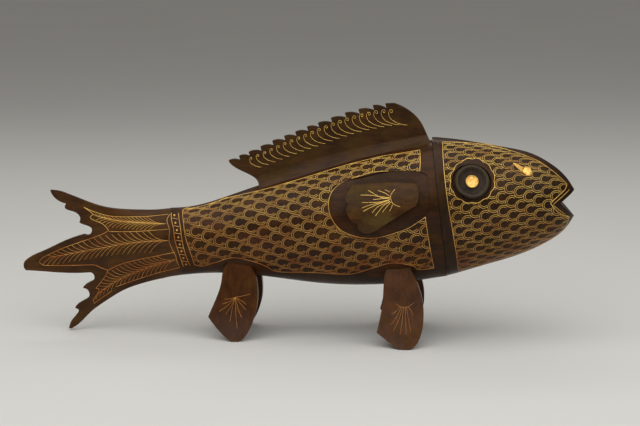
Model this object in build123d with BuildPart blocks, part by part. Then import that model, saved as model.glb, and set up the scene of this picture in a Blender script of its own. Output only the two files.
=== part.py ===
from build123d import *

import math
import os

# A carved wooden fish guiro that stands on four fin-shaped feet, about 415 mm long.
# The trunk and the head are hollowed from solid wood. The head is pushed on to a neck ring
# that is glued into the trunk. The toothed dorsal comb sits in a groove along the back, and
# the tail, the side fins and the feet are carved separately, then pinned and glued on.
# Units are millimetres; +X points to the snout and +Z up, the fish's right flank faces -Y,
# and the origin is on the ground under the middle.

# Stations of the trunk and the tail: x, height of the centre, half height, half width.
TRUNK_STATIONS = [
    (-214, 55.0, 80.0, 1.9),
    (-178, 56.0, 70.0, 2.4),
    (-154, 59.0, 47.5, 3.4),
    (-132, 62.5, 34.5, 5.8),
    (-110, 66.3, 27.8, 9.6),
    (-91, 69.2, 25.9, 13.6),
    (-62, 73.4, 27.6, 19.5),
    (-34, 77.9, 33.0, 25.2),
    (2, 81.4, 40.6, 31.2),
    (38, 85.6, 47.2, 35.6),
    (74, 91.0, 50.9, 38.0),
    (101, 96.0, 51.9, 38.4),
    (122, 98.6, 51.6, 38.0),
]
# Stations of the head, from behind the seam to the lips.
HEAD_STATIONS = [
    (92, 95.0, 52.6, 39.0),
    (106, 97.4, 52.1, 38.9),
    (120, 98.3, 49.8, 37.9),
    (137, 99.7, 45.8, 35.8),
    (155, 100.9, 41.6, 32.4),
    (173, 102.2, 36.2, 27.4),
    (186, 102.2, 29.6, 22.0),
    (195, 101.9, 23.2, 17.0),
    (201, 101.8, 16.6, 12.0),
    (205.4, 101.9, 9.6, 6.8),
]
WALL = 6.5  # thickness of the hollowed trunk and head

NECK_AT = (106, 0, 97.4)  # where the neck's axis crosses the seam
NECK_TILT = 7.1  # degrees that the neck's axis rises towards the snout
NECK_HALF_HEIGHT = 44.6
NECK_HALF_WIDTH = 32.0
NECK_THICKNESS = 3.2
NECK_SEAT = 14.0  # how far the neck ring goes into the trunk
NECK_REACH = 12.0  # how far it stands out of the trunk
NECK_CLEARANCE = 0.3  # gap all round it inside the head, and across the seam

TAIL_AT = (-91, 0, 70)  # where the tail joint crosses the trunk's middle
TAIL_TILT = 10.4  # degrees that the joint leans, top towards the tail
TAIL_DOWEL_RADIUS = 3.0
TAIL_DOWEL_LENGTH = 24.0
TAIL_DOWEL_SPACING = 22.0

COMB_TIPS = [
    (65.1, 174.6),
    (55.9, 173.2),
    (45.3, 170.2),
    (35.3, 167.5),
    (24.9, 163.7),
    (15.3, 159.9),
    (7.1, 157.0),
    (-1.6, 153.2),
    (-9.9, 149.9),
    (-18.7, 146.3),
    (-27.6, 142.0),
    (-36.4, 137.9),
    (-43.6, 134.9),
    (-51.4, 131.4),
]  # tips of the teeth, from the snout to the tail
COMB_TOOTH_DEPTH = 3.8
COMB_HOOK = 1.2  # how far a tip leans back over its notch
COMB_CREST = 1.1  # how far each tooth's back swells above a straight line
COMB_FRONT = [(71.7, 174.9), (82.3, 169.8), (90.4, 162.2), (95.2, 153.4), (98.4, 146.0)]
COMB_REAR = [(-50.4, 129.4), (-44.0, 124.9), (-35.4, 120.8), (-30.2, 117.0), (-28.6, 111.0)]
COMB_HALF_THICKNESS = 2.7
COMB_FLARE = 12.0  # half width of the comb's root, measured a little below the back
COMB_FLARE_STATIONS = [
    (-36, 110.0, 9),
    (-5, 119.8, 10),
    (30, 130.0, 10),
    (65, 139.6, 8),
    (104, 148.2, 6),
]  # x, height of the back, how high the swelling rises up the comb
COMB_TONGUE_DEPTH = 4.0
COMB_TONGUE_HALF_WIDTH = 2.2

# The tail's jagged outline, in runs that meet at corners, round from the top of its root.
TAIL_RUNS = [
    [(-84, 98), (-90, 96.6)],
    [(-90, 96.6), (-104, 93.4), (-120, 93.0), (-135, 93.5), (-149, 95.7), (-161.5, 100), (-174, 104.8)],
    [(-174, 104.8), (-180.6, 107.0), (-186.8, 107.6)],
    [(-186.8, 107.6), (-184.4, 103), (-180, 99.4), (-175, 97.6)],
    [(-175, 97.6), (-175.8, 94.2), (-169.4, 91.6), (-164.6, 87.8), (-165, 83.6)],
    [(-165, 83.6), (-159.6, 81.2), (-155.4, 78.4), (-155.8, 76.2), (-162, 74.0)],
    [(-162, 74.0), (-180.5, 67.2), (-193.8, 60.8), (-202.6, 56.8), (-207.4, 53.4)],
    [(-207.4, 53.4), (-208.4, 51.2), (-208.2, 47.8), (-206.6, 46.0)],
    [(-206.6, 46.0), (-196, 45.6), (-181, 44.7), (-168, 44.6), (-158.2, 45.2)],
    [(-158.2, 45.2), (-154.8, 43.6), (-154.4, 40.4), (-158.6, 37.2), (-163.2, 32.8)],
    [(-163.2, 32.8), (-159.4, 31.2), (-158.4, 27.6), (-162.4, 23.6), (-169.6, 17.2)],
    [(-169.6, 17.2), (-167.0, 15.4), (-168.8, 12.4), (-172.4, 8), (-174.4, 3.4)],
    [(-174.4, 3.4), (-174.8, 1.6), (-172.8, 1.3)],
    [(-172.8, 1.3), (-166.6, 5.6), (-157.6, 14.6), (-146, 23.2), (-132.6, 31.6), (-119, 37), (-104, 40.8)],
    [(-104, 40.8), (-84, 40)],
    [(-84, 40), (-84, 98)],
]

POCKET = [
    (96, 126),
    (89, 128.4),
    (78, 128.3),
    (66, 127.4),
    (50, 123.5),
    (36, 120),
    (27, 114),
    (24, 105),
    (26, 96.5),
    (33, 86.5),
    (43, 79.5),
    (52, 78.2),
    (66, 80.6),
    (80, 85.8),
    (92, 93),
    (98, 101),
    (99, 114),
]  # the plain hollow behind each side fin
POCKET_DEPTH = 0.9
SIDE_FIN_RUNS = [
    [(88.8, 119.6), (76.9, 120.6), (65, 120.2), (53, 119.4), (42, 117.8)],
    [(42, 117.8), (39, 112.5), (38, 107.4), (40.2, 105)],
    [(40.2, 105), (38.2, 100.8), (40.2, 95.8), (43.6, 92), (46.8, 91.2)],
    [(46.8, 91.2), (47, 87.4), (50, 84.8), (54.2, 84.0)],
    [(54.2, 84.0), (59, 85.6), (65.4, 89.8), (72, 94), (78.7, 98.2), (85, 102.2), (88.4, 104)],
    [(88.4, 104), (90.6, 111.5), (88.8, 119.6)],
]
SIDE_FIN_THICKNESS = 2.9
SIDE_FIN_LIFT = 4.8  # how far its free end stands off the hollow
SIDE_FIN_ROOT_X = 82.0  # the fin lies on the flank ahead of this
SIDE_FIN_TIP_X = 38.0
SIDE_FIN_PEGS = [(83.5, -36.8, 107.0), (83.5, -34.2, 115.5)]
SIDE_FIN_PEG_AXIS = (0.02, -0.96, 0.28)
PEG_RADIUS = 1.0
PEG_IN_TRUNK = 4.2
PEG_IN_FIN = 0.6

# Each foot: its outline seen from the side, then its bent cross-section seen from the front.
REAR_FOOT_RUNS = [
    [(-47, 0), (-52.2, 3.6), (-58.5, 9.4), (-65, 17.2)],
    [(-65, 17.2), (-62.4, 23.4), (-58.4, 33), (-55.6, 43), (-54, 52), (-47.5, 58.6), (-38, 57.6)],
    [(-38, 57.6), (-31.6, 51), (-29, 42), (-28.3, 33), (-29.2, 22.6), (-32, 13), (-36, 5), (-42, 0)],
    [(-42, 0), (-47, 0)],
]
REAR_FOOT_BEND = [(-11.5, 64), (-15.8, 46), (-21, 24), (-30.5, 0)]
FRONT_FOOT_RUNS = [
    [(79, 0), (72, 3.2), (65.8, 7.6), (60.9, 11)],
    [(60.9, 11), (63.2, 21), (65, 34), (65.6, 47), (67.6, 55), (75.6, 59.6), (85, 56)],
    [(85, 56), (90.6, 44), (94.2, 32), (95, 21.5), (93.8, 12), (91, 5), (85, 0)],
    [(85, 0), (79, 0)],
]
FRONT_FOOT_BEND = [(-20, 64), (-26.8, 46), (-35.4, 22), (-48, 0)]
FOOT_THICKNESSES = (8.0, 6.6, 5.4, 4.8)  # at the four points of the bend, from the top
FOOT_DOWEL_RADIUS = 2.4
FOOT_DOWEL_IN_TRUNK = 4.2
FOOT_DOWEL_IN_FOOT = 9.0
REAR_FOOT_DOWEL = ((-43.5, -14.4, 52.3), (0, -0.232, -0.973))
FRONT_FOOT_DOWEL = ((79, -24.2, 52.4), (0, -0.353, -0.935))

EYE_AT = (129, -32.9, 121.6)
EYE_AXIS = (0.10, -0.915, 0.39)
EYE_SOCKET = [(0, -2.4), (13.4, -2.4), (17.4, 4), (0, 4)]
EYE_PIN_RADIUS = 1.5
EYE_PIN_DEPTH = 5.2
EYE_BOSS = [
    (EYE_PIN_RADIUS, -2.4),
    (12.6, -2.4),
    (12.7, -0.4),
    (12.2, 0.8),
    (11.3, 1.3),
    (10.4, 1.1),
    (9.4, 0.3),
    (7.8, -0.5),
    (5.6, -0.9),
    (EYE_PIN_RADIUS, -0.9),
]  # half section of the turned boss: radius, height above the head's surface
EYE_STUD = [
    (0, -EYE_PIN_DEPTH),
    (EYE_PIN_RADIUS, -EYE_PIN_DEPTH),
    (EYE_PIN_RADIUS, -0.9),
    (4.7, -0.9),
    (4.8, 0.6),
    (4.4, 1.1),
    (3.9, 1.0),
    (3.5, 0.6),
    (0, 0.5),
]

NOSTRIL_AT = (169.4, -20.6, 127.6)
NOSTRIL_AXIS = (0.30, -0.765, 0.57)
NOSTRIL_PIN_RADIUS = 1.0
NOSTRIL_PIN_DEPTH = 4.0
NOSTRIL_SEAT = [(0, -0.5), (3.7, -0.5), (3.7, 2), (0, 2)]
NOSTRIL_STUD = [
    (0, -NOSTRIL_PIN_DEPTH),
    (NOSTRIL_PIN_RADIUS, -NOSTRIL_PIN_DEPTH),
    (NOSTRIL_PIN_RADIUS, -0.5),
    (3.7, -0.5),
    (3.7, 0.3),
    (3.2, 0.8),
    (2.0, 1.1),
    (0, 1.2),
]

MOUTH = [(193.9, 104.0), (214, 118.3), (214, 83.1)]  # the notch between the lips
OUT = 120.0  # a length well outside the fish

NECK_PLANE = Plane(
    origin=NECK_AT,
    x_dir=(0, 1, 0),
    z_dir=(math.cos(math.radians(NECK_TILT)), 0, math.sin(math.radians(NECK_TILT))),
)
TAIL_PLANE = Plane(
    origin=TAIL_AT,
    x_dir=(0, 1, 0),
    z_dir=(math.cos(math.radians(TAIL_TILT)), 0, math.sin(math.radians(TAIL_TILT))),
)


def hull(stations, grow=lambda x: 0.0):
    """A smooth body through elliptical stations, each grown by grow(x)."""
    with BuildPart() as body:
        for x, centre, half_height, half_width in stations:
            with BuildSketch(Plane.YZ.offset(x)):
                with Locations((0, centre)):
                    Ellipse(half_width + grow(x), half_height + grow(x))
        loft()
    return body.part


def hollow(stations, low, high):
    """The space inside the wall, between x = low and x = high."""
    inside = [station for station in stations if low < station[0] < high]
    return hull(inside, grow=lambda x: -WALL)


def side_prism(runs, near, far):
    """A prism on the side view: the outline's runs are smooth and meet at corners."""
    with BuildPart() as prism:
        with BuildSketch(Plane.XZ.offset(near)):
            with BuildLine():
                for run in runs:
                    if len(run) == 2:
                        Line(*run)
                    else:
                        Spline(*run)
            make_face()
        extrude(amount=far - near)
    return prism.part


def turned(profile, at, axis):
    """A turned piece: its half section (radius, height) goes round a line through at."""
    with BuildPart() as piece:
        with BuildSketch(Plane.XZ):
            with BuildLine():
                Polyline(*profile, close=True)
            make_face()
        revolve(axis=Axis.Z)
    return Plane(origin=at, z_dir=axis) * piece.part


def neck_prism(half_height, half_width, low, high):
    """An elliptical prism along the neck, from low to high either side of the seam."""
    with BuildPart() as prism:
        with BuildSketch(NECK_PLANE.offset(low)):
            Ellipse(half_width, half_height)
        extrude(amount=high - low)
    return prism.part


def pin(at, axis, radius, low, high):
    """A round pin along axis, from low to high either side of the point at."""
    return turned([(0, low), (radius, low), (radius, high), (0, high)], at, axis)


def left_of(part):
    """The same piece for the left flank."""
    return mirror(part, about=Plane.XZ)


def across(vector):
    """The same point or direction on the left flank."""
    return (vector[0], -vector[1], vector[2])


TAIL_STATIONS = TRUNK_STATIONS[:7]
BODY_STATIONS = TRUNK_STATIONS[4:]

# Solid bodies before they are hollowed and parted.
trunk_hull = hull(BODY_STATIONS)
head_hull = hull(HEAD_STATIONS)

# The tail's two dowels run along the joint's normal, half in the tail and half in the trunk.
with BuildPart() as tail_dowels:
    with BuildSketch(TAIL_PLANE.offset(-TAIL_DOWEL_LENGTH / 2)):
        with Locations((0, TAIL_DOWEL_SPACING / 2), (0, -TAIL_DOWEL_SPACING / 2)):
            Circle(TAIL_DOWEL_RADIUS)
    extrude(amount=TAIL_DOWEL_LENGTH)

with BuildPart() as tail_fin:
    add(hull(TAIL_STATIONS))
    add(side_prism(TAIL_RUNS, -OUT, OUT), mode=Mode.INTERSECT)
    split(bisect_by=TAIL_PLANE, keep=Keep.BOTTOM)
    add(tail_dowels.part, mode=Mode.SUBTRACT)


def comb_runs():
    """The comb's outline: curved front edge, teeth, then the undercut rear edge."""
    runs = [COMB_FRONT[::-1], [COMB_FRONT[0], COMB_TIPS[0]]]
    for (x, z), (next_x, next_z) in zip(COMB_TIPS, COMB_TIPS[1:]):
        notch = (x + COMB_HOOK, z - COMB_TOOTH_DEPTH)
        crest = ((notch[0] + next_x) / 2, (notch[1] + next_z) / 2 + COMB_CREST)
        runs.append([(x, z), notch])
        runs.append([notch, crest, (next_x, next_z)])
    runs.append([COMB_TIPS[-1], COMB_REAR[0]])
    runs.append(COMB_REAR)
    runs.append([COMB_REAR[-1], (COMB_REAR[-1][0], 90)])
    runs.append([(COMB_REAR[-1][0], 90), (COMB_FRONT[-1][0], 90)])
    runs.append([(COMB_FRONT[-1][0], 90), COMB_FRONT[-1]])
    return runs


def comb_flare():
    """Half of the swelling at the comb's root: a concave ridge that follows the back."""
    with BuildPart() as ridge:
        for x, back, rise in COMB_FLARE_STATIONS:
            curve = [
                (COMB_HALF_THICKNESS - 0.2, back + rise),
                (COMB_HALF_THICKNESS + 1.3, back + 0.40 * rise),
                (COMB_HALF_THICKNESS + 3.8, back + 0.02 * rise),
                (COMB_FLARE, back - 4.2),
            ]
            with BuildSketch(Plane.YZ.offset(x)):
                with BuildLine():
                    Spline(*curve)
                    Polyline(curve[-1], (COMB_FLARE, back - 12), (1, back - 12), (1, back + rise), curve[0])
                make_face()
        loft()
        add(side_prism(comb_runs(), -COMB_FLARE, COMB_FLARE), mode=Mode.INTERSECT)
        add(trunk_hull, mode=Mode.SUBTRACT)
    return ridge.part


# The tongue under the comb lies in a groove along the back.
with BuildPart() as comb_tongue:
    add(side_prism(comb_runs(), -COMB_TONGUE_HALF_WIDTH, COMB_TONGUE_HALF_WIDTH))
    add(trunk_hull, mode=Mode.INTERSECT)
    add(hull(BODY_STATIONS, grow=lambda x: -COMB_TONGUE_DEPTH), mode=Mode.SUBTRACT)
    split(bisect_by=NECK_PLANE.offset(-NECK_SEAT - 2), keep=Keep.BOTTOM)

left_flare = comb_flare()
with BuildPart() as dorsal_comb:
    add(side_prism(comb_runs(), -COMB_HALF_THICKNESS, COMB_HALF_THICKNESS))
    add(trunk_hull, mode=Mode.SUBTRACT)
    add(comb_tongue.part)
    add(left_flare)
    add(left_of(left_flare))


def side_fin_lift(x):
    """How far the side fin's inner face stands off the trunk's surface."""
    span = max(0.0, (SIDE_FIN_ROOT_X - x) / (SIDE_FIN_ROOT_X - SIDE_FIN_TIP_X))
    return SIDE_FIN_LIFT * min(span, 1.2) ** 1.4 - POCKET_DEPTH


def side_fin_outer(x):
    """How far its outer face stands off: the leaf thins towards its free end."""
    span = max(0.0, (SIDE_FIN_ROOT_X - x) / (SIDE_FIN_ROOT_X - SIDE_FIN_TIP_X))
    return side_fin_lift(x) + SIDE_FIN_THICKNESS - 0.7 * min(span, 1.2)


with BuildPart() as side_pocket:
    with BuildSketch(Plane.XZ.offset(0)):
        with BuildLine():
            Spline(*POCKET, periodic=True)
        make_face()
    extrude(amount=OUT)
    add(hull(BODY_STATIONS, grow=lambda x: -POCKET_DEPTH), mode=Mode.SUBTRACT)
    split(bisect_by=NECK_PLANE.offset(-5.5), keep=Keep.BOTTOM)


def fin_peg(at, axis):
    """The peg between a side fin's root and the trunk's wall."""
    return pin(at, axis, PEG_RADIUS, -PEG_IN_TRUNK, PEG_IN_FIN)


fin_pegs = [fin_peg(at, SIDE_FIN_PEG_AXIS) for at in SIDE_FIN_PEGS]
left_fin_pegs = [fin_peg(across(at), across(SIDE_FIN_PEG_AXIS)) for at in SIDE_FIN_PEGS]

with BuildPart() as side_fin_right:
    add(hull(BODY_STATIONS, grow=side_fin_outer))
    add(hull(BODY_STATIONS, grow=side_fin_lift), mode=Mode.SUBTRACT)
    add(side_prism(SIDE_FIN_RUNS, 5, OUT), mode=Mode.INTERSECT)
    add(hull(BODY_STATIONS, grow=lambda x: -POCKET_DEPTH), mode=Mode.SUBTRACT)
    for peg in fin_pegs:
        add(peg, mode=Mode.SUBTRACT)


def foot(runs, bend, dowel):
    """A foot for the right flank: a bent board cut to the outline, its root cut to the belly."""
    outer = [(y - thick / 2, z) for (y, z), thick in zip(bend, FOOT_THICKNESSES)]
    inner = [(y + thick / 2, z) for (y, z), thick in zip(bend, FOOT_THICKNESSES)]
    with BuildPart() as board:
        with BuildSketch(Plane.YZ.offset(-OUT)):
            with BuildLine():
                Spline(*outer)
                Line(outer[-1], inner[-1])
                Spline(*inner[::-1])
                Line(inner[0], outer[0])
            make_face()
        extrude(amount=2 * OUT)
        add(side_prism(runs, 0, OUT), mode=Mode.INTERSECT)
        add(trunk_hull, mode=Mode.SUBTRACT)
        add(dowel, mode=Mode.SUBTRACT)
    return board.part


def foot_dowel(at, axis):
    """The dowel between a foot's root and the trunk's wall."""
    return pin(at, axis, FOOT_DOWEL_RADIUS, -FOOT_DOWEL_IN_TRUNK, FOOT_DOWEL_IN_FOOT)


rear_dowel = foot_dowel(*REAR_FOOT_DOWEL)
front_dowel = foot_dowel(*FRONT_FOOT_DOWEL)
foot_pins = [rear_dowel, front_dowel]
for dowel_at, dowel_axis in (REAR_FOOT_DOWEL, FRONT_FOOT_DOWEL):
    foot_pins.append(foot_dowel(across(dowel_at), across(dowel_axis)))

with BuildPart() as rear_foot_right:
    add(foot(REAR_FOOT_RUNS, REAR_FOOT_BEND, rear_dowel))

with BuildPart() as front_foot_right:
    add(foot(FRONT_FOOT_RUNS, FRONT_FOOT_BEND, front_dowel))

with BuildPart() as neck_ring:
    add(neck_prism(NECK_HALF_HEIGHT, NECK_HALF_WIDTH, -NECK_SEAT, NECK_REACH))
    add(
        neck_prism(
            NECK_HALF_HEIGHT - NECK_THICKNESS,
            NECK_HALF_WIDTH - NECK_THICKNESS,
            -NECK_SEAT,
            NECK_REACH,
        ),
        mode=Mode.SUBTRACT,
    )

# The trunk: hollowed from the neck back, with seats for all that is fixed to it.
with BuildPart() as trunk_shell:
    add(trunk_hull)
    split(bisect_by=NECK_PLANE, keep=Keep.BOTTOM)
    split(bisect_by=TAIL_PLANE, keep=Keep.TOP)
    add(hollow(TRUNK_STATIONS, -63, 110), mode=Mode.SUBTRACT)
    add(neck_prism(NECK_HALF_HEIGHT, NECK_HALF_WIDTH, -NECK_SEAT, 5), mode=Mode.SUBTRACT)
    add(side_pocket.part, mode=Mode.SUBTRACT)
    add(left_of(side_pocket.part), mode=Mode.SUBTRACT)
    add(comb_tongue.part, mode=Mode.SUBTRACT)
    add(tail_dowels.part, mode=Mode.SUBTRACT)
    for hidden in [*foot_pins, *fin_pegs, *left_fin_pegs]:
        add(hidden, mode=Mode.SUBTRACT)


def face_cuts(flip):
    """What is cut from the head on one flank: the eye's socket and the nostril's seat."""
    eye_at, eye_axis = flip(EYE_AT), flip(EYE_AXIS)
    nose_at, nose_axis = flip(NOSTRIL_AT), flip(NOSTRIL_AXIS)
    return [
        turned(EYE_SOCKET, eye_at, eye_axis),
        pin(eye_at, eye_axis, EYE_PIN_RADIUS, -EYE_PIN_DEPTH, 0),
        turned(NOSTRIL_SEAT, nose_at, nose_axis),
        pin(nose_at, nose_axis, NOSTRIL_PIN_RADIUS, -NOSTRIL_PIN_DEPTH, 0),
    ]


# The head: hollowed from its open end, notched at the mouth, with seats for eyes and nostrils.
with BuildPart() as head_shell:
    add(head_hull)
    split(bisect_by=NECK_PLANE.offset(NECK_CLEARANCE), keep=Keep.TOP)
    add(hollow(HEAD_STATIONS, 118, 190), mode=Mode.SUBTRACT)
    add(
        neck_prism(
            NECK_HALF_HEIGHT + NECK_CLEARANCE,
            NECK_HALF_WIDTH + NECK_CLEARANCE,
            -5,
            NECK_REACH + 2 * NECK_CLEARANCE,
        ),
        mode=Mode.SUBTRACT,
    )
    with BuildSketch(Plane.XZ.offset(-OUT)):
        with BuildLine():
            Polyline(*MOUTH, close=True)
        make_face()
    extrude(amount=2 * OUT, mode=Mode.SUBTRACT)
    for cut in [*face_cuts(tuple), *face_cuts(across)]:
        add(cut, mode=Mode.SUBTRACT)

# Turned pieces of the face: each eye is a boss held by a stud, each nostril a stud.
with BuildPart() as eye_boss_right:
    add(turned(EYE_BOSS, EYE_AT, EYE_AXIS))

with BuildPart() as eye_boss_left:
    add(turned(EYE_BOSS, across(EYE_AT), across(EYE_AXIS)))

with BuildPart() as eye_stud_right:
    add(turned(EYE_STUD, EYE_AT, EYE_AXIS))

with BuildPart() as eye_stud_left:
    add(turned(EYE_STUD, across(EYE_AT), across(EYE_AXIS)))

with BuildPart() as nostril_stud_right:
    add(turned(NOSTRIL_STUD, NOSTRIL_AT, NOSTRIL_AXIS))

with BuildPart() as nostril_stud_left:
    add(turned(NOSTRIL_STUD, across(NOSTRIL_AT), across(NOSTRIL_AXIS)))

# Pieces for the left flank that are the right ones' mirror images.
with BuildPart() as side_fin_left:
    mirror(side_fin_right.part, about=Plane.XZ)

with BuildPart() as rear_foot_left:
    mirror(rear_foot_right.part, about=Plane.XZ)

with BuildPart() as front_foot_left:
    mirror(front_foot_right.part, about=Plane.XZ)

# Hidden dowels and pegs, each kind one group of separate solids.
with BuildPart() as foot_dowels:
    for hidden in foot_pins:
        add(hidden)

with BuildPart() as side_fin_pegs:
    for peg in [*fin_pegs, *left_fin_pegs]:
        add(peg)

finished = {
    "trunk_shell": trunk_shell,
    "head_shell": head_shell,
    "neck_ring": neck_ring,
    "tail_fin": tail_fin,
    "tail_dowels": tail_dowels,
    "dorsal_comb": dorsal_comb,
    "side_fin_right": side_fin_right,
    "side_fin_left": side_fin_left,
    "side_fin_pegs": side_fin_pegs,
    "front_foot_right": front_foot_right,
    "front_foot_left": front_foot_left,
    "rear_foot_right": rear_foot_right,
    "rear_foot_left": rear_foot_left,
    "foot_dowels": foot_dowels,
    "eye_boss_right": eye_boss_right,
    "eye_boss_left": eye_boss_left,
    "eye_stud_right": eye_stud_right,
    "eye_stud_left": eye_stud_left,
    "nostril_stud_right": nostril_stud_right,
    "nostril_stud_left": nostril_stud_left,
}

os.makedirs("parts", exist_ok=True)
for name, piece in finished.items():
    piece.part.label = name
    export_step(piece.part, f"parts/{name}.step")
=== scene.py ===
import math

import bpy
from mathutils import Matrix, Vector


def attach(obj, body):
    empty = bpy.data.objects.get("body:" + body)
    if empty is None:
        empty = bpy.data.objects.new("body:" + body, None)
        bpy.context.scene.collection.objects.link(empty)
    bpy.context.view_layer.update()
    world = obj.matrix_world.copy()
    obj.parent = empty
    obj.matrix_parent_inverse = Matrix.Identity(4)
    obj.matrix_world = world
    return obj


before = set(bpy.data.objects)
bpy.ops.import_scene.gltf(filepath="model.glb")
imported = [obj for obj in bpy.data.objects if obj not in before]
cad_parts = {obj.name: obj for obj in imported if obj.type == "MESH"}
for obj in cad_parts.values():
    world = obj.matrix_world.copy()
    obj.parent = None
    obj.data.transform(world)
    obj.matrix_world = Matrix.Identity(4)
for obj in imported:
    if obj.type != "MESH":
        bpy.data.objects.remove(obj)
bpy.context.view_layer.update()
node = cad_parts

# ---------------------------------------------------------------------------
# Lacquered wood: trunk, head, tail, comb, side fins and feet are carved, stained and
# lacquered nearly black-brown. Handling has rubbed the lacquer back to warm brown in
# clouds and along the grain, and left a thin greenish bloom in the quiet places.


def place(tree, kind, feeds=None, **settings):
    """Adds a node to a tree; feeds gives its sockets values, or other nodes' sockets."""
    made = tree.nodes.new(kind)
    for key, value in settings.items():
        setattr(made, key, value)
    for key, value in (feeds or {}).items():
        if isinstance(value, bpy.types.NodeSocket):
            tree.links.new(value, made.inputs[key])
        else:
            made.inputs[key].default_value = value
    return made


def shader_group(name, inputs, outputs):
    """A shader node group with named sockets; gives the tree, its input and output nodes."""
    tree = bpy.data.node_groups.new(name, "ShaderNodeTree")
    for label, kind, default in inputs:
        socket = tree.interface.new_socket(label, in_out="INPUT", socket_type=kind)
        socket.default_value = default
    for label, kind in outputs:
        tree.interface.new_socket(label, in_out="OUTPUT", socket_type=kind)
    return tree, place(tree, "NodeGroupInput"), place(tree, "NodeGroupOutput")


def math_node(tree, operation, first, second=0.0, clamp=False):
    """The result of one sum on two values or sockets."""
    return place(
        tree, "ShaderNodeMath", {0: first, 1: second}, operation=operation, use_clamp=clamp
    ).outputs[0]


def blend_colours(tree, factor, first, second):
    """One colour laid over another."""
    made = place(tree, "ShaderNodeMix", {"Factor": factor}, data_type="RGBA")
    for socket, value in ((made.inputs[6], first), (made.inputs[7], second)):
        if isinstance(value, bpy.types.NodeSocket):
            tree.links.new(value, socket)
        else:
            socket.default_value = value
    return made.outputs[2]


def ramp(tree, value, low, high):
    """Nought below low, one above high, and smooth between."""
    return place(
        tree,
        "ShaderNodeMapRange",
        {"Value": value, "From Min": low, "From Max": high},
        interpolation_type="SMOOTHSTEP",
    ).outputs[0]


def split_xyz(tree, vector):
    return place(tree, "ShaderNodeSeparateXYZ", {0: vector}).outputs


def join_xyz(tree, x, y, z):
    return place(tree, "ShaderNodeCombineXYZ", {0: x, 1: y, 2: z}).outputs[0]


def noise(tree, vector, scale, detail=4.0, roughness=0.55):
    return place(
        tree,
        "ShaderNodeTexNoise",
        {"Vector": vector, "Scale": scale, "Detail": detail, "Roughness": roughness},
    ).outputs["Fac"]


# Worn lacquer: clouds of rub-through, brush and grain streaks, bloom and fine pitting.
worn, worn_in, worn_out = shader_group(
    "worn_lacquer",
    [
        ("Vector", "NodeSocketVector", (0, 0, 0)),
        ("Lacquer", "NodeSocketColor", (0.03, 0.014, 0.008, 1)),
        ("Rubbed", "NodeSocketColor", (0.12, 0.055, 0.022, 1)),
        ("Bloom", "NodeSocketColor", (0.11, 0.085, 0.045, 1)),
        ("Rubbed Amount", "NodeSocketFloat", 0.6),
        ("Bloom Amount", "NodeSocketFloat", 0.35),
        ("Streak", "NodeSocketVector", (60, 240, 240)),
    ],
    [("Colour", "NodeSocketColor"), ("Roughness", "NodeSocketFloat"), ("Height", "NodeSocketFloat")],
)
place_of = worn_in.outputs["Vector"]
streaked = place(
    worn,
    "ShaderNodeVectorMath",
    {0: place_of, 1: worn_in.outputs["Streak"]},
    operation="MULTIPLY",
).outputs[0]
clouds = noise(worn, place_of, 26.0, 5.0, 0.6)
patches = noise(worn, place_of, 61.0, 6.0, 0.62)
streaks = noise(worn, streaked, 1.0, 5.0, 0.6)
specks = noise(worn, place_of, 900.0, 2.0)
rubbed = math_node(
    worn,
    "MULTIPLY",
    ramp(worn, math_node(worn, "ADD", math_node(worn, "MULTIPLY", clouds, 0.55),
                         math_node(worn, "MULTIPLY", streaks, 0.45)), 0.40, 0.62),
    worn_in.outputs["Rubbed Amount"],
    clamp=True,
)
bloom = math_node(
    worn, "MULTIPLY", ramp(worn, patches, 0.44, 0.68), worn_in.outputs["Bloom Amount"], clamp=True
)
stained = blend_colours(worn, rubbed, worn_in.outputs["Lacquer"], worn_in.outputs["Rubbed"])
bloomed = blend_colours(worn, bloom, stained, worn_in.outputs["Bloom"])
speck_mask = ramp(worn, specks, 0.60, 0.72)
speckled = blend_colours(
    worn, math_node(worn, "MULTIPLY", speck_mask, 0.35), bloomed, (0.006, 0.003, 0.002, 1)
)
worn.links.new(speckled, worn_out.inputs["Colour"])
worn.links.new(
    math_node(
        worn,
        "ADD",
        0.30,
        math_node(
            worn,
            "ADD",
            math_node(worn, "MULTIPLY", bloom, 0.32),
            math_node(worn, "MULTIPLY", math_node(worn, "SUBTRACT", patches, 0.4), 0.35),
        ),
    ),
    worn_out.inputs["Roughness"],
)
worn.links.new(
    math_node(
        worn,
        "ADD",
        math_node(worn, "MULTIPLY", streaks, 0.6),
        math_node(worn, "SUBTRACT", math_node(worn, "MULTIPLY", clouds, 0.8),
                  math_node(worn, "MULTIPLY", speck_mask, 0.25)),
    ),
    worn_out.inputs["Height"],
)


def principled(name, **constants):
    """A material with one Principled shader, its constants set on the shader itself."""
    material = bpy.data.materials.new(name)
    material.use_nodes = True
    shader = material.node_tree.nodes["Principled BSDF"]
    for key, value in constants.items():
        shader.inputs[key.replace("_", " ")].default_value = value
    return material, material.node_tree, shader


def relief(tree, shader, height, distance, strength=1.0):
    """Fine relief in the surface."""
    bump = place(
        tree, "ShaderNodeBump", {"Height": height, "Distance": distance, "Strength": strength}
    )
    tree.links.new(bump.outputs[0], shader.inputs["Normal"])


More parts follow.
